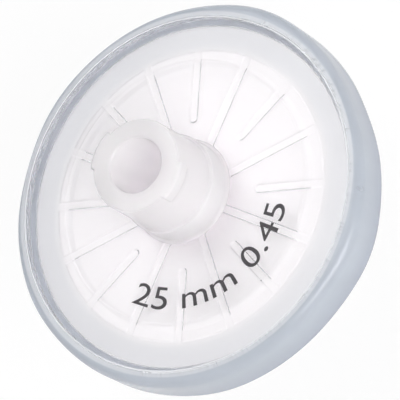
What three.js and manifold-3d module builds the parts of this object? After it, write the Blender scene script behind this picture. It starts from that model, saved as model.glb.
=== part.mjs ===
import * as THREE from 'three';
import { mergeVertices } from 'three/addons/utils/BufferGeometryUtils.js';
import Module from 'manifold-3d';

const wasm = await Module();
wasm.setup();

// Syringe filter: millimetres, +Z up, outlet tip on z = 0, inlet hub on top.

// Membrane, clamped at its edge, with a chamber each side of it
const membraneDiameter = 23.1;
const membraneThickness = 0.15;
const membranePocket = 0.1;
const clampWidth = 0.9;
const clampRing = 0.15;

// Weld round the membrane, then the band that is moulded over both halves
const weldWidth = 1.8;
const tongueDepth = 0.55;
const tongueThickness = 0.9;
const bandWall = 1.0;
const bandDrop = 0.05;
const bandThickness = 3.8;
const bandLip = 0.35;
const shoulderHeight = 1.0;
const bandRounding = 0.9;
const edgeBreak = 0.12;
const fitClearance = 0.03;

// Inlet half
const inletPlate = 1.52;
const plateRounding = 0.12;
const ribHeight = 0.13;
const ribWidth = 0.62;
const ribPairs = 8;
const longRibStart = 2.0;
const shortRibStart = 5.75;
const ribEmbed = 0.3;
const chamberSlope = 0.45;
const landRelief = 0.03;
const beadInset = 0.27;
const beadWidth = 0.2;
const beadHeight = 0.04;

// Female Luer lock hub, 6 % taper in its bore
const hubHeight = 7.1;
const hubTipDiameter = 7.2;
const hubRootDiameter = 7.36;
const bossDiameter = 7.8;
const bossHeight = 2.3;
const bossRounding = 0.5;
const bossTurn = 65;
const hubFillet = 0.35;
const lugSpan = 7.8;
const lugThickness = 1.3;
const lugHalfAngle = 23;
const lugBearing = 156;
const lugSlope = 0.35;
const luerTaper = 0.06;
const luerMouth = 4.3;
const luerFloor = 0.7;
const mouthBreak = 0.1;
const inletHole = 2.4;

// Outlet half with its male Luer slip tip
const outletPlate = 1.7;
const tipLength = 10.0;
const tipDiameter = 3.97;
const tipRounding = 0.15;
const outletBore = 2.1;
const rootDiameter = 8.0;
const rootHeight = 1.8;
const rootRounding = 0.6;
const drainFunnel = 0.6;
const drainRibHeight = 0.25;
const drainRibWidth = 0.5;
const longDrainStart = 2.2;
const shortDrainStart = 5.0;

// Faceting, and how far a cut runs past the face it opens
const wideFacets = 96;
const narrowFacets = 48;
const arcSteps = 5;
const shortArcSteps = 3;
const shoulderSteps = 6;
const lugSteps = 10;
const ribEndSteps = 4;
const cutPast = 1;

// Levels, from the outlet tip upwards
const outletFace = tipLength + rootHeight;
const outletFloor = outletFace + outletPlate;
const membraneBottom = outletFloor + drainRibHeight;
const membraneTop = membraneBottom + membraneThickness;
const inletCeiling = membraneTop + ribHeight;
const inletFace = inletCeiling + inletPlate;
const hubTop = inletFace + hubHeight;
const bandTop = inletFace - bandDrop;
const bandBottom = bandTop - bandThickness;

// Radii shared by the pieces
const membraneRadius = membraneDiameter / 2;
const chamberRadius = membraneRadius - clampWidth;
const pocketRadius = membraneRadius + membranePocket;
const clampStart = pocketRadius - clampRing;
const stepRadius = pocketRadius + weldWidth;
const plateRadius = stepRadius + tongueDepth;
const bandOuter = plateRadius + bandWall;
const tongueTop = (bandTop + bandBottom + tongueThickness) / 2;
const tongueBottom = tongueTop - tongueThickness;

const point = (r, z) => new THREE.Vector2(r, z);

// Points on an arc about (r, z), from angle a to angle b in degrees; an ellipse where the height differs.
function arc(r, z, radius, a, b, steps = arcSteps, height = radius) {
  const list = [];
  for (let i = 0; i <= steps; i += 1) {
    const angle = THREE.MathUtils.degToRad(a + ((b - a) * i) / steps);
    list.push(point(r + radius * Math.cos(angle), z + height * Math.sin(angle)));
  }
  return list;
}

// A manifold solid from a three.js geometry, turned inside out if it came so.
function solid(geometry) {
  const bare = new THREE.BufferGeometry();
  bare.setAttribute('position', geometry.getAttribute('position').clone());
  if (geometry.index) {
    bare.setIndex(geometry.index.clone());
  }
  const merged = mergeVertices(bare, 1e-5);
  const vertProperties = new Float32Array(merged.getAttribute('position').array);
  const source = merged.index.array;
  const kept = [];
  for (let i = 0; i < source.length; i += 3) {
    const [a, b, c] = [source[i], source[i + 1], source[i + 2]];
    if (a !== b && b !== c && c !== a) {
      kept.push(a, b, c);
    }
  }
  if (signedVolume(vertProperties, kept) < 0) {
    for (let i = 0; i < kept.length; i += 3) {
      [kept[i + 1], kept[i + 2]] = [kept[i + 2], kept[i + 1]];
    }
  }
  const triVerts = new Uint32Array(kept);
  return new wasm.Manifold(new wasm.Mesh({ numProp: 3, vertProperties, triVerts }));
}

function signedVolume(xyz, tri) {
  const [a, b, c] = [new THREE.Vector3(), new THREE.Vector3(), new THREE.Vector3()];
  let sum = 0;
  for (let i = 0; i < tri.length; i += 3) {
    a.fromArray(xyz, tri[i] * 3);
    b.fromArray(xyz, tri[i + 1] * 3);
    c.fromArray(xyz, tri[i + 2] * 3);
    sum += a.dot(b.cross(c));
  }
  return sum;
}

// A profile of (radius, height) points turned about the Z axis.
function turned(points, facets) {
  const lathe = new THREE.LatheGeometry(points, facets);
  lathe.rotateX(Math.PI / 2);
  return solid(lathe);
}

// A flat outline raised from one level to another.
function raised(shape, bottom, top) {
  const slab = new THREE.ExtrudeGeometry(shape, {
    depth: top - bottom,
    bevelEnabled: false,
    curveSegments: ribEndSteps,
  });
  slab.translate(0, 0, bottom);
  return solid(slab);
}

// A radial rib with a rounded inner end, at a bearing in degrees.
function rib(start, end, width, bottom, top, bearing) {
  const half = width / 2;
  const shape = new THREE.Shape();
  shape.moveTo(end, half);
  shape.lineTo(start + half, half);
  shape.absarc(start + half, 0, half, Math.PI / 2, Math.PI * 1.5, false);
  shape.lineTo(end, -half);
  shape.closePath();
  return turnedTo(raised(shape, bottom, top), bearing);
}

function turnedTo(body, bearing) {
  return body.rotate([0, 0, bearing]);
}

// Short ribs on the even bearings, long ones between them.
function ribRing(shortStart, longStart, end, width, bottom, top) {
  const pitch = 360 / (2 * ribPairs);
  const list = [];
  for (let i = 0; i < 2 * ribPairs; i += 1) {
    const start = i % 2 === 0 ? shortStart : longStart;
    list.push(rib(start, end, width, bottom, top, i * pitch));
  }
  return list;
}

function joined(list) {
  return list.reduce((whole, piece) => whole.add(piece));
}

function inletHalf() {
  const seal = membraneTop + fitClearance;
  const land = seal + landRelief;
  const bead = chamberRadius - beadInset;
  const plate = turned([
    point(0, inletCeiling),
    point(chamberRadius - chamberSlope, inletCeiling),
    point(chamberRadius, land),
    point(clampStart, land),
    point(clampStart, seal),
    point(stepRadius, seal),
    point(stepRadius, tongueTop + fitClearance),
    point(plateRadius, tongueTop + fitClearance),
    ...arc(plateRadius - plateRounding, inletFace - plateRounding, plateRounding, 0, 90),
    point(bead + beadWidth / 2, inletFace),
    point(bead, inletFace + beadHeight),
    point(bead - beadWidth / 2, inletFace),
    point(0, inletFace),
  ], wideFacets);
  const boss = bossDiameter / 2;
  const bossEdge = boss - bossRounding;
  const bossCentre = inletFace + bossHeight - bossRounding;
  const hub = turned([
    point(0, inletCeiling + ribEmbed),
    point(boss + hubFillet, inletCeiling + ribEmbed),
    ...arc(boss + hubFillet, inletFace + hubFillet, hubFillet, 270, 180, shortArcSteps),
    ...arc(bossEdge, bossCentre, bossRounding, 0, bossTurn, shortArcSteps),
    point(hubRootDiameter / 2, inletFace + bossHeight + edgeBreak),
    point(hubTipDiameter / 2, hubTop - edgeBreak),
    point(hubTipDiameter / 2 - edgeBreak, hubTop),
    point(0, hubTop),
  ], narrowFacets);
  const mouth = luerMouth / 2;
  const seatLevel = inletCeiling + luerFloor;
  const seat = mouth - (luerTaper * (hubTop - seatLevel)) / 2;
  const bore = turned([
    point(0, inletCeiling - cutPast),
    point(inletHole / 2, inletCeiling - cutPast),
    point(inletHole / 2, seatLevel),
    point(seat, seatLevel),
    point(mouth, hubTop - mouthBreak),
    point(mouth + mouthBreak, hubTop),
    point(mouth + mouthBreak, hubTop + cutPast),
    point(0, hubTop + cutPast),
  ], narrowFacets);
  const ribs = ribRing(
    shortRibStart,
    longRibStart,
    clampStart + clampRing / 2,
    ribWidth,
    seal,
    inletCeiling + ribEmbed,
  );
  return joined([plate, hub, lug(0), lug(180), ...ribs]).subtract(bore);
}

// One lug of the lock: a sector of the hub's end with a sloping underside.
function lug(bearing) {
  const inner = luerMouth / 2 + mouthBreak + edgeBreak;
  const outer = lugSpan / 2;
  const half = THREE.MathUtils.degToRad(lugHalfAngle);
  const shape = new THREE.Shape();
  shape.absarc(0, 0, outer, -half, half, false);
  shape.absarc(0, 0, inner, half, -half, true);
  shape.closePath();
  const block = new THREE.ExtrudeGeometry(shape, {
    depth: lugThickness,
    bevelEnabled: false,
    curveSegments: lugSteps,
  });
  const place = block.getAttribute('position');
  for (let i = 0; i < place.count; i += 1) {
    const reach = Math.hypot(place.getX(i), place.getY(i));
    const under = place.getZ(i) < lugThickness / 2;
    const lift = under && reach > (inner + outer) / 2 ? lugSlope : 0;
    place.setZ(i, place.getZ(i) + lift + hubTop - lugThickness);
  }
  return turnedTo(solid(block), bearing + lugBearing);
}

function outletHalf() {
  const root = rootDiameter / 2;
  const tip = tipDiameter / 2;
  const coneRoot = tip + (luerTaper * tipLength) / 2;
  const rest = membraneBottom - fitClearance;
  const plate = turned([
    point(0, outletFace),
    point(plateRadius - edgeBreak, outletFace),
    point(plateRadius, outletFace + edgeBreak),
    point(plateRadius, tongueBottom - fitClearance),
    point(stepRadius, tongueBottom - fitClearance),
    point(stepRadius, membraneTop),
    point(pocketRadius, membraneTop),
    point(pocketRadius, rest),
    point(chamberRadius, rest),
    point(chamberRadius, outletFloor),
    point(0, outletFloor),
  ], wideFacets);
  const nose = turned([
    point(0, 0),
    ...arc(tip - tipRounding, tipRounding, tipRounding, 270, 360, shortArcSteps),
    point(coneRoot, tipLength),
    ...arc(root - rootRounding, tipLength + rootRounding, rootRounding, 270, 360),
    point(root, outletFace + ribEmbed),
    point(0, outletFace + ribEmbed),
  ], narrowFacets);
  const half = outletBore / 2;
  const bore = turned([
    point(0, -cutPast),
    point(half, -cutPast),
    point(half, outletFloor - drainFunnel),
    point(half + drainFunnel, outletFloor),
    point(half + drainFunnel, membraneBottom + cutPast),
    point(0, membraneBottom + cutPast),
  ], narrowFacets);
  const ribs = ribRing(
    shortDrainStart,
    longDrainStart,
    chamberRadius + ribEmbed,
    drainRibWidth,
    outletFloor - ribEmbed,
    rest,
  );
  return joined([plate, nose, ...ribs]).subtract(bore);
}

function membrane() {
  return turned([
    point(0, membraneBottom),
    point(membraneRadius, membraneBottom),
    point(membraneRadius, membraneTop),
    point(0, membraneTop),
  ], wideFacets);
}

function sealBand() {
  const wall = plateRadius + fitClearance;
  const tongue = stepRadius + fitClearance;
  const shoulder = bandOuter - wall - bandLip;
  return turned([
    point(wall, bandTop),
    point(wall, tongueTop),
    point(tongue, tongueTop),
    point(tongue, tongueBottom),
    point(wall, tongueBottom),
    point(wall, bandBottom),
    ...arc(bandOuter - bandRounding, bandBottom + bandRounding, bandRounding, 270, 360),
    ...arc(wall + bandLip, bandTop - shoulderHeight, shoulder, 0, 90, shoulderSteps, shoulderHeight),
    point(wall, bandTop),
  ], wideFacets);
}

function piece(name, body, look) {
  const data = body.getMesh();
  const geometry = new THREE.BufferGeometry();
  geometry.setAttribute('position', new THREE.Float32BufferAttribute(data.vertProperties, 3));
  geometry.setIndex(new THREE.Uint32BufferAttribute(data.triVerts, 1));
  geometry.computeVertexNormals();
  const mesh = new THREE.Mesh(geometry, new THREE.MeshStandardMaterial(look));
  mesh.name = name;
  return mesh;
}

const clearPlastic = { color: 0xe9e8ec, roughness: 0.3, metalness: 0 };
const bandPlastic = { color: 0xc3cad6, roughness: 0.35, metalness: 0 };
const whiteFilm = { color: 0xfbf9fa, roughness: 0.85, metalness: 0 };

const filter = new THREE.Group();
filter.name = 'syringe_filter';
filter.add(piece('inlet_half', inletHalf(), clearPlastic));
filter.add(piece('outlet_half', outletHalf(), clearPlastic));
filter.add(piece('membrane', membrane(), whiteFilm));
filter.add(piece('seal_band', sealBand(), bandPlastic));

export default filter;
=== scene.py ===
import math

import bpy
import numpy as np
from mathutils import Matrix, Vector


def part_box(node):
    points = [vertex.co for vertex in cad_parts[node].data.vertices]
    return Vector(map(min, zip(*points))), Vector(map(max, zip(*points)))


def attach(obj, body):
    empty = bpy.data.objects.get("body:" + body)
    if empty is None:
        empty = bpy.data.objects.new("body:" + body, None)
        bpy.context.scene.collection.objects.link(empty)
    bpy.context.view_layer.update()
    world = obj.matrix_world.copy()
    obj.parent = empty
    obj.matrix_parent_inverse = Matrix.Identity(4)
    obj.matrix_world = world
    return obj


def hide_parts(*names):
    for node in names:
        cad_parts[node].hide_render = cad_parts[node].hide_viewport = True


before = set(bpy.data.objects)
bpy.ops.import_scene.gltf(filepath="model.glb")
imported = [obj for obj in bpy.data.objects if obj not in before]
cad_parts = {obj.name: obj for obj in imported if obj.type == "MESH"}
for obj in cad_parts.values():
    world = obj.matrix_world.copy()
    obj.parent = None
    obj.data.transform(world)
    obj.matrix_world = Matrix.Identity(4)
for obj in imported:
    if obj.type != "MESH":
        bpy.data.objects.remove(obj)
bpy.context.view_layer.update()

mm = 0.001
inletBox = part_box("inlet_half")
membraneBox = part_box("membrane")
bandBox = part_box("seal_band")


# fits that the pieces share: the joints' gap, a hair's breadth for tests of level, the plate's step above
# the band, and the thickness of the band's tongue, which lies half way up the band
gap = 0.03 * mm
hair = 0.001 * mm
plateStep = 0.05 * mm
tongueThickness = 0.9 * mm

# levels and radii shared by the pieces, from the frame
membraneBottom = membraneBox[0][2]
membraneTop = membraneBox[1][2]
bandBottom = bandBox[0][2]
bandTop = bandBox[1][2]
plateFace = bandTop + plateStep
hubTop = inletBox[1][2]
membraneRadius = membraneBox[1][0]
plateRadius = inletBox[1][0]
bandRadius = bandBox[1][0]
tongueTop = 0.5 * (bandBottom + bandTop) + 0.5 * tongueThickness
tongueBottom = tongueTop - tongueThickness


def smoothStep(edge0, edge1, x):
    # 3t^2 - 2t^3, where t runs from 0 at edge0 to 1 at edge1
    t = np.clip((x - edge0) / (edge1 - edge0), 0.0, 1.0)
    return t * t * (3.0 - 2.0 * t)


def closedPath(corners):
    # closed outline of (r, z, fillet, step) corners: an arc at each corner, then a straight run to the
    # next one, cut every step; arc point = centre + fillet * (cos a, sin a), with a turning from one
    # tangent point to the other; a corner without a fillet is a point of a curve or a bare edge
    arcPoints = 6
    besideArc = 0.04 * mm
    arcs = []
    total = len(corners)
    for index in range(total):
        before = np.array(corners[index - 1][:2])
        corner = np.array(corners[index][:2])
        after = np.array(corners[(index + 1) % total][:2])
        inward = before - corner
        outward = after - corner
        lengthIn = np.hypot(*inward)
        lengthOut = np.hypot(*outward)
        inward = inward / lengthIn
        outward = outward / lengthOut
        half = 0.5 * math.acos(float(np.clip(inward @ outward, -1.0, 1.0)))
        fillet = corners[index][2]
        if fillet <= 0.0 or half > 0.49 * math.pi:
            arcs.append(corner[None])
            continue
        reach = min(fillet / math.tan(half), 0.45 * lengthIn, 0.45 * lengthOut)
        radius = reach * math.tan(half)
        middle = inward + outward
        centre = corner + middle / np.hypot(*middle) * radius / math.sin(half)
        first = corner + inward * reach - centre
        last = corner + outward * reach - centre
        start = math.atan2(first[1], first[0])
        sweep = math.atan2(last[1], last[0]) - start
        sweep = (sweep + math.pi) % (2.0 * math.pi) - math.pi
        turn = start + sweep * np.linspace(0.0, 1.0, arcPoints)
        arcs.append(centre + radius * np.stack([np.cos(turn), np.sin(turn)], 1))
    rows = []
    for index in range(total):
        rows.append(arcs[index])
        a = arcs[index][-1]
        b = arcs[(index + 1) % total][0]
        length = np.hypot(*(b - a))
        cuts = np.linspace(0.0, 1.0, max(2, int(math.ceil(length / corners[index][3])) + 1))[1:-1]
        # a ring close beside each rounding keeps the straight run flat when it is shaded
        close = min(besideArc / length, 0.2)
        beside = [close] if corners[index][2] > 0.0 else []
        beside += [1.0 - close] if corners[(index + 1) % total][2] > 0.0 else []
        cuts = np.unique(np.round(np.concatenate([cuts, beside]), 6))
        rows.append(a + (b - a) * cuts[:, None])
    path = np.concatenate(rows)
    return path[:, 0], path[:, 1]


def meshFrom(name, xyz, faces, materials, faceMaterial=None):
    mesh = bpy.data.meshes.new(name)
    mesh.from_pydata(xyz.tolist(), [], faces.tolist())
    mesh.polygons.foreach_set("use_smooth", np.ones(len(mesh.polygons), dtype=bool))
    for material in materials:
        mesh.materials.append(material)
    if faceMaterial is not None:
        mesh.polygons.foreach_set("material_index", faceMaterial.astype(np.int32))
    mesh.update()
    piece = bpy.data.objects.new(name, mesh)
    bpy.context.scene.collection.objects.link(piece)
    return piece


def ringMesh(name, x, y, z, materials, whichMaterial=None):
    # quads between neighbours of a grid of points that closes on itself both ways, turned so that the
    # volume is positive; whichMaterial numbers the material of each row, or of each row and column
    rows, columns = x.shape
    xyz = np.stack([x, y, z], -1).reshape(-1, 3)
    upper = np.arange(rows)[:, None] * columns
    lower = ((np.arange(rows) + 1) % rows)[:, None] * columns
    here = np.arange(columns)
    there = (here + 1) % columns
    quads = np.stack([upper + here, upper + there, lower + there, lower + here], -1).reshape(-1, 4)
    a, b, c, d = (xyz[quads[:, k]] for k in range(4))
    volume = (a * (np.cross(b, c) + np.cross(c, d))).sum()
    if volume < 0:
        quads = quads[:, ::-1]
    faceMaterial = None
    if whichMaterial is not None:
        number = whichMaterial if whichMaterial.ndim == 2 else whichMaterial[:, None]
        faceMaterial = np.broadcast_to(number, (rows, columns)).ravel()
    return meshFrom(name, xyz, quads, materials, faceMaterial)


def ribColumns(count, ribHalf):
    # column angle at radius r = sector angle + offset; near a rib the column keeps a fixed distance from
    # the rib's line, offset = asin(share * ribHalf / r), and past beside half widths it opens evenly up to
    # the share at the sector's edge
    half = math.pi / count
    beside = 1.5
    edgeShare = 2.0
    shares = np.array([0.0, 0.35, 0.55, 0.7, 0.82, 0.94, 1.06, 1.18, 1.3, 1.5, 1.75])
    samples = np.concatenate([-np.array([edgeShare]), -shares[:0:-1], shares])
    sector = np.repeat(np.arange(count), len(samples))
    sample = np.tile(samples, count)

    def angles(radius):
        r = radius[:, None]
        side = np.sign(sample)
        size = np.abs(sample)
        widest = np.minimum(beside * ribHalf, r * math.sin(0.8 * half))
        near = np.arcsin(np.minimum(size / beside, 1.0) * widest / r)
        offset = side * (near + np.maximum(size - beside, 0.0) / (edgeShare - beside) * (half - near))
        return sector * 2.0 * half + offset, offset

    return sector, angles


def ribMask(radius, offset, start, ribHalf, draft):
    # 1 on a rib and 0 off it, by the distance from a line that begins at start with a half-round end
    along = radius[:, None] * np.cos(offset)
    across = radius[:, None] * np.sin(offset)
    distance = np.hypot(np.maximum(start + ribHalf - along, 0.0), across)
    return smoothStep(ribHalf + draft, ribHalf - draft, distance)


def newGroup(name, inputs, outputs):
    group = bpy.data.node_groups.new(name, "ShaderNodeTree")
    for title, kind, value in inputs:
        group.interface.new_socket(name=title, in_out="INPUT", socket_type=kind).default_value = value
    for title, kind in outputs:
        group.interface.new_socket(name=title, in_out="OUTPUT", socket_type=kind)
    return group, group.nodes.new("NodeGroupInput"), group.nodes.new("NodeGroupOutput")


def mathNode(tree, operation, a, b=None, clamp=False):
    node = tree.nodes.new("ShaderNodeMath")
    node.operation = operation
    node.use_clamp = clamp
    for socket, value in zip(node.inputs, (a, b)):
        if value is None:
            continue
        if isinstance(value, (int, float)):
            socket.default_value = value
        else:
            tree.links.new(value, socket)
    return node.outputs[0]


def noiseNode(tree, vector, scale, detail, roughness):
    node = tree.nodes.new("ShaderNodeTexNoise")
    node.inputs["Scale"].default_value = scale
    node.inputs["Detail"].default_value = detail
    node.inputs["Roughness"].default_value = roughness
    tree.links.new(vector, node.inputs["Vector"])
    return node.outputs["Fac"]


def weighted(tree, a, share, b):
    # share * a + (1 - share) * b
    first = mathNode(tree, "MULTIPLY", a, share)
    second = mathNode(tree, "MULTIPLY", b, 1.0 - share)
    return mathNode(tree, "ADD", first, second)


def mixColour(tree, factor, a, b):
    node = tree.nodes.new("ShaderNodeMix")
    node.data_type = "RGBA"
    for socket, value in ((node.inputs[0], factor), (node.inputs[6], a), (node.inputs[7], b)):
        if isinstance(value, (int, float)):
            socket.default_value = value
        elif isinstance(value, tuple):
            socket.default_value = (*value, 1.0)
        else:
            tree.links.new(value, socket)
    return node.outputs[2]


def axisDistance(tree):
    # the shaded point's coordinates, and its distance from the axis, sqrt(x^2 + y^2)
    place = tree.nodes.new("ShaderNodeTexCoord").outputs["Object"]
    split = tree.nodes.new("ShaderNodeSeparateXYZ")
    tree.links.new(place, split.inputs[0])
    acrossSquare = mathNode(tree, "MULTIPLY", split.outputs[0], split.outputs[0])
    alongSquare = mathNode(tree, "MULTIPLY", split.outputs[1], split.outputs[1])
    radius = mathNode(tree, "SQRT", mathNode(tree, "ADD", acrossSquare, alongSquare))
    return place, split, radius


skinPattern = {
    "cloudScale": 190.0, "fineScale": 5200.0, "streakScale": 7.0, "streakStretch": 160.0,
    "axisLimit": 0.5 * mm, "cloudShare": 0.6, "fineShare": 0.25,
    "tintFrom": 0.35, "tintContrast": 2.2, "roughnessSpread": 0.12,
}


def mouldedSkin(sizes):
    # tint = 0.6 cloud(p) + 0.4 streak(cos a, sin a, 160 r), the streaks running outwards from the gate in
    # the middle; colour = mix(colour, deep colour, 2.2 (tint - 0.35));
    # roughness = given + 0.12 (cloud - 0.5); height = grain * (0.75 cloud + 0.25 fine(p))
    group, given, out = newGroup(
        "mouldedSkin",
        [("Colour", "NodeSocketColor", (0.9, 0.9, 0.9, 1.0)),
         ("Deep Colour", "NodeSocketColor", (0.8, 0.8, 0.85, 1.0)),
         ("Roughness", "NodeSocketFloat", 0.2), ("Grain", "NodeSocketFloat", 1.0)],
        [("Colour", "NodeSocketColor"), ("Roughness", "NodeSocketFloat"),
         ("Height", "NodeSocketFloat")],
    )
    place, split, radius = axisDistance(group)
    cloud = noiseNode(group, place, sizes["cloudScale"], 4.0, 0.55)
    fine = noiseNode(group, place, sizes["fineScale"], 2.0, 0.6)
    safe = mathNode(group, "MAXIMUM", radius, sizes["axisLimit"])
    ring = group.nodes.new("ShaderNodeCombineXYZ")
    group.links.new(mathNode(group, "DIVIDE", split.outputs[0], safe), ring.inputs[0])
    group.links.new(mathNode(group, "DIVIDE", split.outputs[1], safe), ring.inputs[1])
    group.links.new(mathNode(group, "MULTIPLY", radius, sizes["streakStretch"]), ring.inputs[2])
    streak = noiseNode(group, ring.outputs[0], sizes["streakScale"], 3.0, 0.6)
    tint = weighted(group, cloud, sizes["cloudShare"], streak)
    aboveFrom = mathNode(group, "SUBTRACT", tint, sizes["tintFrom"])
    shade = mathNode(group, "MULTIPLY", aboveFrom, sizes["tintContrast"], clamp=True)
    colour = mixColour(group, shade, given.outputs["Colour"], given.outputs["Deep Colour"])
    group.links.new(colour, out.inputs["Colour"])
    cloudLift = mathNode(group, "SUBTRACT", cloud, 0.5)
    waver = mathNode(group, "MULTIPLY", cloudLift, sizes["roughnessSpread"])
    rough = mathNode(group, "ADD", given.outputs["Roughness"], waver, clamp=True)
    group.links.new(rough, out.inputs["Roughness"])
    relief = weighted(group, fine, sizes["fineShare"], cloud)
    group.links.new(mathNode(group, "MULTIPLY", relief, given.outputs["Grain"]), out.inputs["Height"])
    return group


def ringZone():
    # mask = smooth step of the radius from inner to outer, times a smooth step of the height from below
    # to above; a pair given the other way round falls instead of rising
    group, given, out = newGroup(
        "ringZone",
        [("Inner", "NodeSocketFloat", 0.011), ("Outer", "NodeSocketFloat", 0.012),
         ("Below", "NodeSocketFloat", -0.002), ("Above", "NodeSocketFloat", -0.001)],
        [("Mask", "NodeSocketFloat")],
    )
    place, split, radius = axisDistance(group)
    masks = []
    for value, low, high in ((radius, "Inner", "Outer"), (split.outputs[2], "Below", "Above")):
        ramp = group.nodes.new("ShaderNodeMapRange")
        ramp.interpolation_type = "SMOOTHSTEP"
        group.links.new(value, ramp.inputs["Value"])
        group.links.new(given.outputs[low], ramp.inputs["From Min"])
        group.links.new(given.outputs[high], ramp.inputs["From Max"])
        masks.append(ramp.outputs["Result"])
    group.links.new(mathNode(group, "MULTIPLY", masks[0], masks[1]), out.inputs["Mask"])
    return group


def newMaterial(name):
    material = bpy.data.materials.new(name)
    material.use_nodes = True
    tree = material.node_tree
    return material, tree, tree.nodes["Principled BSDF"]


def addBump(tree, height, strength, shader):
    bump = tree.nodes.new("ShaderNodeBump")
    bump.inputs["Strength"].default_value = strength
    bump.inputs["Distance"].default_value = bumpDepth
    tree.links.new(height, bump.inputs["Height"])
    tree.links.new(bump.outputs[0], shader.inputs["Normal"])


# everyRadius is a pair that lies below every radius, so its mask is 1 all over; deepInPlate gives the
# levels between which the plate's inner faces begin
bumpDepth = 0.02 * mm
everyRadius = (-2.0, -1.0)
deepInPlate = (plateFace - 0.4 * mm, plateFace - 0.9 * mm)
looks = {
    "refraction": 1.49,
    "plate": {
        "colour": (0.99, 0.983, 0.987), "deepColour": (0.975, 0.966, 0.973),
        "roughness": 0.21, "innerRoughness": 0.4, "clear": 0.985, "relief": 0.12,
        # painted shade: the plate's inner faces turn grey past the film's edge, where no white film lies
        # behind
        "paintedShadingZones": (((0.87, 0.872, 0.893), (11.45 * mm, 12.1 * mm), deepInPlate),),
    },
    "hub": {
        "colour": (1.0, 0.97, 0.988), "deepColour": (0.99, 0.96, 0.978),
        "roughness": 0.26, "clear": 0.36, "relief": 0.2,
        "scatter": 1.0, "reach": 8.0 * mm, "scatterColour": (1.0, 0.95, 1.0), "paintedShadingZones": (),
    },
    "band": {
        "colour": (0.61, 0.65, 0.715), "deepColour": (0.545, 0.585, 0.65),
        "roughness": 0.25, "clear": 0.35, "relief": 0.25,
        "paintedShadingZones": (
            # painted shade: the band darker towards its bottom
            ((0.49, 0.53, 0.6), everyRadius, (bandTop - 0.9 * mm, bandTop - 3.8 * mm)),
            # painted light: a lighter strip on the band's top beside the seam
            ((0.78, 0.8, 0.84), (14.45 * mm, 14.3 * mm), (bandTop - 0.5 * mm, bandTop - 0.3 * mm)),
            # painted shade: the band's inner wall and tongue darker under the plate's edge
            ((0.57, 0.61, 0.67), (14.1 * mm, 14.03 * mm), (bandTop - 0.25 * mm, bandTop - 0.45 * mm)),
        ),
    },
    # the flash look is whiter than the band: a painted glint on the flash, the gate nubs and the plate's
    # outer edge
    "flash": {
        "colour": (0.87, 0.88, 0.9), "deepColour": (0.77, 0.785, 0.81),
        "roughness": 0.35, "clear": 0.2, "relief": 0.3, "paintedShadingZones": (),
    },
    "film": {
        "colour": (0.985, 0.975, 0.98), "deepColour": (0.95, 0.94, 0.95),
        "roughness": 0.85, "relief": 0.3, "fibreScale": 3600.0, "patchScale": 260.0,
    },
    "ink": {
        "colour": (0.04, 0.036, 0.04), "deepColour": (0.1, 0.09, 0.1), "roughness": 0.5,
        "wearScale": 2600.0, "wearContrast": 2.4,
    },
}


def addZone(tree, zone, radii, levels):
    # mask of the ringZone group between these radii and levels
    node = tree.nodes.new("ShaderNodeGroup")
    node.node_tree = zone
    for title, value in zip(("Inner", "Outer", "Below", "Above"), (*radii, *levels)):
        node.inputs[title].default_value = value
    return node.outputs["Mask"]


def plasticMaterial(name, skin, zone, look):
    # the skin group's colour, roughness and height on a body that is part see-through and part milky;
    # colour = mix(colour, zone colour, zone mask) for each zone of painted light and shade in turn;
    # roughness = roughness + (inner roughness - outer roughness) * mask of the inner faces
    material, tree, shader = newMaterial(name)
    node = tree.nodes.new("ShaderNodeGroup")
    node.node_tree = skin
    node.inputs["Colour"].default_value = (*look["colour"], 1.0)
    node.inputs["Deep Colour"].default_value = (*look["deepColour"], 1.0)
    node.inputs["Roughness"].default_value = look["roughness"]
    colour, roughness = node.outputs["Colour"], node.outputs["Roughness"]
    for tint, radii, levels in look["paintedShadingZones"]:
        colour = mixColour(tree, addZone(tree, zone, radii, levels), colour, tint)
    if "innerRoughness" in look:
        mask = addZone(tree, zone, everyRadius, deepInPlate)
        rougher = mathNode(tree, "MULTIPLY", mask, look["innerRoughness"] - look["roughness"])
        roughness = mathNode(tree, "ADD", roughness, rougher)
    tree.links.new(colour, shader.inputs["Base Color"])
    tree.links.new(roughness, shader.inputs["Roughness"])
    shader.inputs["IOR"].default_value = looks["refraction"]
    shader.inputs["Transmission Weight"].default_value = look["clear"]
    if "scatter" in look:
        shader.inputs["Subsurface Weight"].default_value = look["scatter"]
        shader.inputs["Subsurface Radius"].default_value = look["scatterColour"]
        shader.inputs["Subsurface Scale"].default_value = look["reach"]
    addBump(tree, node.outputs["Height"], look["relief"], shader)
    return material


def filmMaterial(look):
    # colour = mix(colour, deepColour, 0.5 fibres(p) + 0.5 patches(p)), height = fibres(p)
    material, tree, shader = newMaterial("membraneFilm")
    place = tree.nodes.new("ShaderNodeTexCoord").outputs["Object"]
    fibres = noiseNode(tree, place, look["fibreScale"], 5.0, 0.65)
    patches = noiseNode(tree, place, look["patchScale"], 3.0, 0.5)
    blend = weighted(tree, fibres, 0.5, patches)
    colour = mixColour(tree, blend, look["colour"], look["deepColour"])
    tree.links.new(colour, shader.inputs["Base Color"])
    shader.inputs["Roughness"].default_value = look["roughness"]
    addBump(tree, fibres, look["relief"], shader)
    return material


def inkMaterial(look):
    # colour = mix(colour, deepColour, 2.4 (wear(p) - 0.5)): the ink is thin where the noise is high
    material, tree, shader = newMaterial("printInk")
    place = tree.nodes.new("ShaderNodeTexCoord").outputs["Object"]
    wear = noiseNode(tree, place, look["wearScale"], 4.0, 0.7)
    worn = mathNode(tree, "SUBTRACT", wear, 0.5)
    thin = mathNode(tree, "MULTIPLY", worn, look["wearContrast"], clamp=True)
    colour = mixColour(tree, thin, look["colour"], look["deepColour"])
    tree.links.new(colour, shader.inputs["Base Color"])
    shader.inputs["Roughness"].default_value = look["roughness"]
    return material


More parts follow.
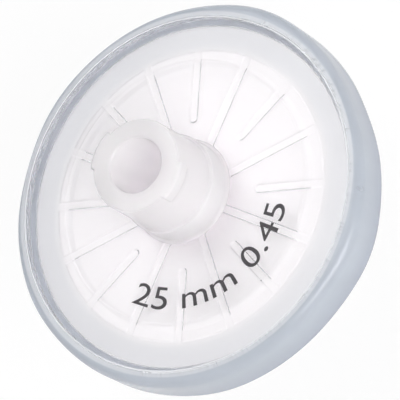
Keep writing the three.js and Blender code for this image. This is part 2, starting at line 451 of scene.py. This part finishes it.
skin = mouldedSkin(skinPattern)
zone = ringZone()
platePlastic = plasticMaterial("platePlastic", skin, zone, looks["plate"])
hubPlastic = plasticMaterial("hubPlastic", skin, zone, looks["hub"])
bandPlastic = plasticMaterial("bandPlastic", skin, zone, looks["band"])
flashGlintPlastic = plasticMaterial("flashGlintPlastic", skin, zone, looks["flash"])
filmWhite = filmMaterial(looks["film"])
ink = inkMaterial(looks["ink"])
print("materials made")


inlet = {
    "ribs": 16, "ribHalf": 0.31 * mm, "ribDraft": 0.036 * mm, "ribHeight": 0.13 * mm,
    "shortStart": 5.75 * mm, "longStart": 2.0 * mm,
    "longEnds": (1.9 * mm, 2.5 * mm), "shortEnds": (5.6 * mm, 6.2 * mm),
    "chamber": 10.65 * mm, "slope": 0.45 * mm, "relief": 0.03 * mm,
    "clamp": 11.5 * mm, "clampSlope": 0.12 * mm,
    "bead": 10.38 * mm, "beadHalf": 0.1 * mm, "beadHeight": 0.05 * mm,
    "step": 13.45 * mm, "edge": 0.07 * mm, "edgeGlint": 0.12 * mm,
    "hole": 1.2 * mm, "seatAbove": 0.7 * mm, "taper": 0.06, "mouth": 2.15 * mm, "mouthBevel": 0.1 * mm,
    "boss": 3.9 * mm, "bossFoot": 0.35 * mm, "bossHeight": 2.3 * mm, "root": 3.68 * mm, "tip": 3.6 * mm,
    "lug": 3.9 * mm, "lugEdge": 0.16 * mm, "lugThickness": 1.3 * mm, "lugSlope": 0.35 * mm,
    "lugHalfAngle": 23.0, "lugSoftness": 0.7, "lugBearing": 156.0,
}


def inletHalf(sizes):
    # r and z follow the closed section; z' = mix(z, seal, rib mask) on the underside, and the end of the
    # hub stays at r = tip between the lugs: r' = tip + (r - tip) * lug mask on the wall, scaled about the
    # mouth on the end; the section has rings where the long ribs and the short ones begin
    ceiling = membraneTop + sizes["ribHeight"]
    face = plateFace
    seal = membraneTop + gap
    land = seal + sizes["relief"]
    seatLevel = ceiling + sizes["seatAbove"]
    seat = sizes["mouth"] - 0.5 * sizes["taper"] * (hubTop - seatLevel)
    bossTop = face + sizes["bossHeight"]
    lugBase = hubTop - sizes["lugThickness"]
    wide = 0.8 * mm
    bead, beadHalf = sizes["bead"], sizes["beadHalf"]
    mouthEdge = sizes["mouth"] + sizes["mouthBevel"]
    wallTop = hubTop - sizes["lugEdge"]
    corners = [
        (sizes["hole"], ceiling, 0.08 * mm, 0.15 * mm),
        (sizes["longEnds"][0], ceiling, 0, 0.06 * mm), (sizes["longEnds"][1], ceiling, 0, 0.4 * mm),
        (sizes["shortEnds"][0], ceiling, 0, 0.06 * mm), (sizes["shortEnds"][1], ceiling, 0, 0.6 * mm),
        (sizes["chamber"] - sizes["slope"], ceiling, 0.3 * mm, 0.1 * mm),
        (sizes["chamber"], land, 0.08 * mm, wide),
        (sizes["clamp"] - sizes["clampSlope"], land, 0.03 * mm, wide),
        (sizes["clamp"], seal, 0.03 * mm, wide), (sizes["step"], seal, 0.04 * mm, wide),
        (sizes["step"], tongueTop + gap, 0.06 * mm, wide),
        (plateRadius, tongueTop + gap, 0.06 * mm, wide),
        (plateRadius, face, sizes["edge"], wide), (plateRadius - sizes["edgeGlint"], face, 0, wide),
        (bead + beadHalf, face, 0.2 * mm, wide),
        (bead, face + sizes["beadHeight"], 0.2 * mm, wide), (bead - beadHalf, face, 0.2 * mm, wide),
        (sizes["boss"], face, sizes["bossFoot"], wide), (sizes["boss"], bossTop, 0.5 * mm, wide),
        (sizes["root"], bossTop + 0.12 * mm, 0.25 * mm, wide), (sizes["tip"], lugBase, 0.0, 0.1 * mm),
        (sizes["lug"], lugBase + sizes["lugSlope"], 0.07 * mm, wide),
        (sizes["lug"], hubTop, sizes["lugEdge"], 0.3 * mm), (mouthEdge, hubTop, 0.1 * mm, wide),
        (sizes["mouth"], hubTop - 0.12 * mm, 0.08 * mm, wide), (seat, seatLevel, 0.12 * mm, 0.3 * mm),
        (sizes["hole"], seatLevel, 0.1 * mm, wide),
    ]
    r, z = closedPath(corners)
    sector, angles = ribColumns(sizes["ribs"], sizes["ribHalf"])
    angle, offset = angles(r)
    start = np.where(sector % 2 == 0, sizes["shortStart"], sizes["longStart"])
    mask = ribMask(r, offset, start, sizes["ribHalf"], sizes["ribDraft"])
    under = (z < ceiling + hair) & (z > seal) & (r < sizes["clamp"]) & (r > sizes["hole"])
    height = np.where(under[:, None], z[:, None] + (seal - z[:, None]) * mask, z[:, None])
    fromLug = (np.degrees(angle) - sizes["lugBearing"] + 90.0) % 180.0 - 90.0
    halfAngle, softness = sizes["lugHalfAngle"], sizes["lugSoftness"]
    lugMask = smoothStep(halfAngle + softness, halfAngle - softness, np.abs(fromLug))
    reach = sizes["tip"] + (sizes["lug"] - sizes["tip"]) * lugMask
    wall = (z >= lugBase) & (r >= sizes["tip"]) & (z <= wallTop)
    end = (z > wallTop) & (r > mouthEdge)
    wallRadius = sizes["tip"] + (r[:, None] - sizes["tip"]) * lugMask
    endRadius = mouthEdge + (r[:, None] - mouthEdge) * (reach - mouthEdge) / (sizes["lug"] - mouthEdge)
    radius = np.where(wall[:, None], wallRadius, np.where(end[:, None], endRadius, r[:, None]))
    isOutside = (r < sizes["boss"] + sizes["bossFoot"] + 10.0 * hair) & (z > face + 5.0 * hair)
    isBore = (r < sizes["mouth"] + 0.15 * mm) & (z > ceiling)
    isHub = isOutside | isBore
    # the plate's outer edge strip takes the whiter flash look, a painted glint
    isGlintEdge = (r > plateRadius - sizes["edgeGlint"] + hair) & (z > bandTop - 0.1 * mm)
    return ringMesh(
        "inletHalf", radius * np.cos(angle), radius * np.sin(angle), height,
        [platePlastic, hubPlastic, flashGlintPlastic], isHub + 2 * isGlintEdge)


outlet = {
    "ribs": 16, "ribHalf": 0.25 * mm, "ribDraft": 0.08 * mm,
    "shortStart": 5.0 * mm, "longStart": 2.2 * mm,
    "shortEnds": (4.95 * mm, 5.5 * mm), "longEnd": 2.7 * mm,
    "chamber": 10.65 * mm, "pocket": 0.02 * mm, "step": 13.45 * mm,
    "bore": 1.05 * mm, "funnel": 0.6 * mm, "tip": 1.985 * mm, "taper": 0.06, "tipLength": 10.0 * mm,
    "root": 4.0 * mm, "rootHeight": 1.8 * mm, "plate": 1.7 * mm,
}


def outletHalf(sizes):
    # the closed section with z' = mix(z, rib top, rib mask) on the chamber floor, which has rings where
    # the ribs begin
    face = sizes["tipLength"] + sizes["rootHeight"]
    floorLevel = face + sizes["plate"]
    rest = membraneBottom - gap
    cone = sizes["tip"] + 0.5 * sizes["taper"] * sizes["tipLength"]
    pocket = membraneRadius + sizes["pocket"]
    weld = membraneTop
    wide = 0.8 * mm
    corners = [
        (sizes["bore"], 0.0, 0.1 * mm, wide), (sizes["tip"], 0.0, 0.15 * mm, wide),
        (cone, sizes["tipLength"], 0.3 * mm, wide), (sizes["root"], sizes["tipLength"], 0.6 * mm, wide),
        (sizes["root"], face, 0.3 * mm, wide), (plateRadius, face, 0.12 * mm, wide),
        (plateRadius, tongueBottom - gap, 0.06 * mm, wide),
        (sizes["step"], tongueBottom - gap, 0.06 * mm, wide), (sizes["step"], weld, 0.04 * mm, wide),
        (pocket, weld, 0.02 * mm, wide), (pocket, rest, 0.02 * mm, wide),
        (sizes["chamber"], rest, 0.05 * mm, wide), (sizes["chamber"], floorLevel, 0.1 * mm, 0.35 * mm),
        (sizes["shortEnds"][1], floorLevel, 0, 0.05 * mm),
        (sizes["shortEnds"][0], floorLevel, 0, 0.3 * mm), (sizes["longEnd"], floorLevel, 0, 0.05 * mm),
        (sizes["bore"] + sizes["funnel"], floorLevel, 0.15 * mm, wide),
        (sizes["bore"], floorLevel - sizes["funnel"], 0.2 * mm, wide),
    ]
    r, z = closedPath(corners)
    sector, angles = ribColumns(sizes["ribs"], sizes["ribHalf"])
    angle, offset = angles(r)
    start = np.where(sector % 2 == 0, sizes["shortStart"], sizes["longStart"])
    mask = ribMask(r, offset, start, sizes["ribHalf"], sizes["ribDraft"])
    onFloor = (z > floorLevel - hair) & (z < rest) & (r < sizes["chamber"] + 10.0 * hair)
    onFloor &= r > sizes["bore"] + sizes["funnel"]
    height = np.where(onFloor[:, None], z[:, None] + (rest - z[:, None]) * mask, z[:, None])
    return ringMesh(
        "outletHalf", r[:, None] * np.cos(angle), r[:, None] * np.sin(angle), height,
        [platePlastic])


film = {
    "pinhole": 0.02 * mm, "edge": 0.03 * mm, "columns": 192,
    "dip": 0.008 * mm, "dipsAround": 5.0, "dipsAcross": 900.0,
}


def membraneDisc(sizes):
    # a thin disc as one closed section round a pinhole in the middle; it lies a little uneven:
    # z' = z - dip * (cos 5a * cos 900 r * r / radius)^2
    hole, edge = sizes["pinhole"], sizes["edge"]
    corners = [
        (hole, membraneBottom, 0, 0.4 * mm), (membraneRadius, membraneBottom, edge, 0.1 * mm),
        (membraneRadius, membraneTop, edge, 0.4 * mm), (hole, membraneTop, 0, 0.1 * mm),
    ]
    r, z = closedPath(corners)
    angle = np.linspace(0.0, 2.0 * math.pi, sizes["columns"], endpoint=False)[None, :]
    wave = np.cos(sizes["dipsAround"] * angle) * np.cos(sizes["dipsAcross"] * r[:, None])
    wave = wave * r[:, None] / membraneRadius
    return ringMesh(
        "membraneDisc", r[:, None] * np.cos(angle), r[:, None] * np.sin(angle),
        z[:, None] - sizes["dip"] * wave * wave, [filmWhite])


band = {
    "seam": 0.004 * mm, "lip": 0.35 * mm, "shoulderHeight": 1.0 * mm, "rounding": 0.9 * mm,
    "tongueReach": 13.48 * mm, "shoulderPoints": 26, "coarseStep": 1.2, "fineStep": 0.6,
    "gates": ((36.0, 0.9), (38.6, 0.7), (41.0, 1.0), (30.5, 0.5), (64.0, 0.4)), "gateWidth": 0.55,
    "flashFrom": -100.0, "flashTo": 66.0, "flashFade": 12.0, "flashHeight": 0.07 * mm,
    "gateHeight": 0.2 * mm, "flashPlace": 0.06 * mm, "flashWidth": 0.09 * mm, "flashGlintLift": 0.02 * mm,
    "ripples": 12, "ripplesAround": 25, "rippleStep": 11, "specks": 46, "speckWidth": 0.28, "seed": 7,
    "uneven": ((69.0, 16.0, 0.25), (24.0, 13.0, -0.2), (-19.0, 14.0, 0.3), (-112.0, 13.0, 0.05),
               (-78.0, 13.0, 0.08), (-150.0, 10.0, 0.07), (125.0, 18.0, -0.1), (167.0, 15.0, -0.27)),
}


def sealBand(sizes):
    # closed section with an elliptical shoulder, (lip edge + a cos t, shoulder level + b sin t); beside
    # the seam the top rises by ripple + gate nubs + specks, and the outer wall swells by a sum of
    # amount * bump, where each bump is exp(-((angle - bearing) / width)^2)
    wall = plateRadius + sizes["seam"]
    wide = 0.6 * mm
    lipEdge = wall + sizes["lip"]
    across = bandRadius - wall - sizes["lip"]
    level = bandTop - sizes["shoulderHeight"]
    turn = np.linspace(0.0, 0.5 * math.pi, sizes["shoulderPoints"])
    rise = sizes["shoulderHeight"]
    shoulder = [(lipEdge + across * math.cos(t), level + rise * math.sin(t), 0, wide) for t in turn]
    corners = [
        (wall, bandTop, 0.04 * mm, wide), (wall, tongueTop, 0.05 * mm, wide),
        (sizes["tongueReach"], tongueTop, 0.05 * mm, wide),
        (sizes["tongueReach"], tongueBottom, 0.05 * mm, wide),
        (wall, tongueBottom, 0.05 * mm, wide), (wall, bandBottom, 0.05 * mm, wide),
        (bandRadius, bandBottom, sizes["rounding"], wide), *shoulder,
    ]
    r, z = closedPath(corners)
    random = np.random.default_rng(sizes["seed"])
    bearings = random.uniform(sizes["flashFrom"], sizes["flashTo"], sizes["specks"])
    coarse = np.arange(0.0, 360.0, sizes["coarseStep"])
    fine = np.arange(sizes["flashFrom"], sizes["flashTo"], sizes["fineStep"])
    beside = sizes["speckWidth"] * np.linspace(-1.5, 1.5, 7)
    spots = np.concatenate([bearings, [bearing for bearing, height in sizes["gates"]]])
    close = (spots[:, None] + beside).ravel()
    degrees = np.unique(np.round(np.concatenate([coarse, fine % 360.0, close % 360.0]), 2))
    angle = np.radians(degrees)[None, :]
    signed = (degrees + 180.0) % 360.0 - 180.0
    ripple = np.zeros_like(signed)
    for wave in range(sizes["ripples"]):
        around = sizes["ripplesAround"] + sizes["rippleStep"] * wave
        amount = random.uniform(0.3, 1.0)
        ripple += amount * np.sin(np.radians(signed) * around + random.uniform(0, 6.28))
    ripple = np.clip(ripple / 4.0, 0.0, 1.0)
    flash = smoothStep(sizes["flashFrom"], sizes["flashFrom"] + sizes["flashFade"], signed)
    flash = flash * smoothStep(sizes["flashTo"], sizes["flashTo"] - sizes["flashFade"], signed)
    nubs = np.zeros_like(signed)
    for bearing, height in sizes["gates"]:
        nubs = np.maximum(nubs, height * np.exp(-(((signed - bearing) / sizes["gateWidth"]) ** 2)))
    for bearing in bearings:
        height = random.uniform(0.08, 0.4)
        nubs = np.maximum(nubs, height * np.exp(-(((signed - bearing) / sizes["speckWidth"]) ** 2)))
    ridge = sizes["flashHeight"] * (0.1 + flash * (0.8 + ripple)) + sizes["gateHeight"] * nubs
    fromRidge = (r - wall - sizes["flashPlace"]) / sizes["flashWidth"]
    nearSeam = (z > bandTop - 0.3 * mm) * np.exp(-(fromRidge ** 2))
    lift = nearSeam[:, None] * ridge[None, :]
    height = z[:, None] + lift
    swell = np.zeros_like(signed)
    for bearing, width, amount in sizes["uneven"]:
        swell += amount * mm * np.exp(-(((signed - bearing + 180.0) % 360.0 - 180.0) / width) ** 2)
    radius = r[:, None] + smoothStep(wall + 0.1 * mm, bandRadius, r)[:, None] * swell[None, :]
    # faces lifted past the flash threshold take the whiter flash look, a painted glint on the flash and
    # nubs
    return ringMesh(
        "sealBand", radius * np.cos(angle), radius * np.sin(angle), height,
        [bandPlastic, flashGlintPlastic], lift > sizes["flashGlintLift"])


printing = {
    "text": "25 mm 0.45", "capHeight": 1.75 * mm, "radius": 8.35 * mm, "from": 246.0, "to": 349.0,
    "thickness": 0.012 * mm, "lift": 0.004 * mm,
}


def platePrint(sizes):
    # each point of the flat text goes to (radius - y, from + x * span / width) in polar form, with its
    # top towards the middle
    curve = bpy.data.curves.new("platePrint", "FONT")
    curve.body = sizes["text"]
    curve.extrude = 0.5
    curve.resolution_u = 6
    flat = bpy.data.objects.new("flatPrint", curve)
    bpy.context.scene.collection.objects.link(flat)
    bpy.context.view_layer.update()
    mesh = bpy.data.meshes.new_from_object(flat.evaluated_get(bpy.context.evaluated_depsgraph_get()))
    bpy.data.objects.remove(flat)
    count = len(mesh.vertices)
    xyz = np.empty(count * 3, np.float32)
    mesh.vertices.foreach_get("co", xyz)
    xyz = xyz.reshape(-1, 3).astype(float)
    low, high = xyz.min(0), xyz.max(0)
    scale = sizes["capHeight"] / (high[1] - low[1])
    along = (xyz[:, 0] - low[0]) / (high[0] - low[0])
    turn = np.radians(sizes["from"] + (sizes["to"] - sizes["from"]) * along)
    radius = sizes["radius"] - (xyz[:, 1] - 0.5 * (low[1] + high[1])) * scale
    layer = (xyz[:, 2] - low[2]) / (high[2] - low[2])
    level = plateFace + sizes["lift"] + sizes["thickness"] * layer
    placed = np.stack([radius * np.cos(turn), radius * np.sin(turn), level], 1)
    mesh.vertices.foreach_set("co", placed.astype(np.float32).ravel())
    mesh.name = "platePrint"
    mesh.materials.clear()
    mesh.materials.append(ink)
    mesh.update()
    piece = bpy.data.objects.new("platePrint", mesh)
    bpy.context.scene.collection.objects.link(piece)
    return piece


pieces = {
    "inlet_half": [inletHalf(inlet), platePrint(printing)],
    "outlet_half": [outletHalf(outlet)],
    "membrane": [membraneDisc(film)],
    "seal_band": [sealBand(band)],
}
for node, made in pieces.items():
    for piece in made:
        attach(piece, "root")
    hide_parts(node)
print("pieces made")

lighting = {
    "ambient": 0.52,
    "lamps": (
        {"strength": 3.15, "azimuth": 116.0, "elevation": 63.0, "edge": 21.0, "core": 11.0},
        {"strength": 4.8, "azimuth": -30.0, "elevation": 34.0, "edge": 27.0, "core": 12.0},
    ),
    "floor": (0.93, 0.93, 0.935), "cameraLift": 0.88, "throughLift": 0.8, "floorHalf": 0.6,
}


def towards(azimuth, elevation):
    # unit vector (cos a cos e, sin a cos e, sin e) for angles in degrees
    a, e = math.radians(azimuth), math.radians(elevation)
    return math.cos(a) * math.cos(e), math.sin(a) * math.cos(e), math.sin(e)


def makeWorld(sizes):
    # strength = ambient + sum of lamp strength * smooth step of the cosine to the lamp, from its edge to
    # its core
    world = bpy.data.worlds.new("studio")
    bpy.context.scene.world = world
    world.use_nodes = True
    tree = world.node_tree
    background = tree.nodes["Background"]
    background.inputs["Color"].default_value = (1.0, 1.0, 1.0, 1.0)
    direction = tree.nodes.new("ShaderNodeTexCoord").outputs["Generated"]
    total = sizes["ambient"]
    for lamp in sizes["lamps"]:
        dot = tree.nodes.new("ShaderNodeVectorMath")
        dot.operation = "DOT_PRODUCT"
        dot.inputs[1].default_value = towards(lamp["azimuth"], lamp["elevation"])
        tree.links.new(direction, dot.inputs[0])
        lobe = tree.nodes.new("ShaderNodeMapRange")
        lobe.interpolation_type = "SMOOTHSTEP"
        lobe.inputs["From Min"].default_value = math.cos(math.radians(lamp["edge"]))
        lobe.inputs["From Max"].default_value = math.cos(math.radians(lamp["core"]))
        lobe.inputs["To Min"].default_value = 0.0
        lobe.inputs["To Max"].default_value = lamp["strength"]
        tree.links.new(dot.outputs["Value"], lobe.inputs["Value"])
        total = mathNode(tree, "ADD", lobe.outputs["Result"], total)
    tree.links.new(total, background.inputs["Strength"])


def makeFloor(sizes):
    # a pale surface that takes the shadow; camera and glossy rays see it mixed with plain white by
    # cameraLift, and rays that come through the plastic by throughLift
    half = sizes["floorHalf"]
    xyz = np.array([(-half, -half, 0.0), (half, -half, 0.0), (half, half, 0.0), (-half, half, 0.0)])
    mesh = bpy.data.meshes.new("floor")
    mesh.from_pydata(xyz.tolist(), [], [(0, 1, 2, 3)])
    material, tree, shader = newMaterial("floorPaint")
    shader.inputs["Base Color"].default_value = (*sizes["floor"], 1.0)
    shader.inputs["Roughness"].default_value = 0.9
    shader.inputs["Specular IOR Level"].default_value = 0.1
    glow = tree.nodes.new("ShaderNodeEmission")
    glow.inputs["Strength"].default_value = 1.0
    rays = tree.nodes.new("ShaderNodeLightPath")
    seen = mathNode(tree, "MAXIMUM", rays.outputs["Is Camera Ray"], rays.outputs["Is Glossy Ray"])
    through = mathNode(tree, "MULTIPLY", rays.outputs["Is Transmission Ray"], sizes["throughLift"])
    share = mathNode(tree, "MAXIMUM", mathNode(tree, "MULTIPLY", seen, sizes["cameraLift"]), through)
    blend = tree.nodes.new("ShaderNodeMixShader")
    tree.links.new(share, blend.inputs[0])
    tree.links.new(shader.outputs[0], blend.inputs[1])
    tree.links.new(glow.outputs[0], blend.inputs[2])
    tree.links.new(blend.outputs[0], tree.nodes["Material Output"].inputs["Surface"])
    mesh.materials.append(material)
    floor = bpy.data.objects.new("floor", mesh)
    bpy.context.scene.collection.objects.link(floor)


view = {
    "azimuth": -29.87, "elevation": 56.21, "roll": 60.54, "lens": 300.8,
    "distance": 253.68 * mm, "aim": (0.414 * mm, -0.117 * mm, 13.5 * mm),
}


def makeCamera(sizes):
    away = Vector(towards(sizes["azimuth"], sizes["elevation"]))
    data = bpy.data.cameras.new("camera")
    data.lens = sizes["lens"]
    data.sensor_width = 36.0
    data.clip_start = 0.01
    data.clip_end = 10.0
    camera = bpy.data.objects.new("camera", data)
    bpy.context.scene.collection.objects.link(camera)
    right = Vector((0.0, 0.0, 1.0)).cross(away).normalized()
    upright = away.cross(right)
    roll = Matrix.Rotation(-math.radians(sizes["roll"]), 3, "Z")
    turn = Matrix((right, upright, away)).transposed() @ roll
    place = Vector(sizes["aim"]) + away * sizes["distance"]
    camera.matrix_world = Matrix.Translation(place) @ turn.to_4x4()
    bpy.context.scene.camera = camera


makeWorld(lighting)
makeFloor(lighting)
makeCamera(view)
scene = bpy.context.scene
scene.view_settings.view_transform = "Standard"
# light has to cross the thin plate from film to lamp without being spread on the way
scene.cycles.max_bounces = 32
scene.cycles.transmission_bounces = 24
scene.cycles.glossy_bounces = 12
scene.cycles.diffuse_bounces = 16
scene.cycles.blur_glossy = 0.0
print("floor, light and camera made")
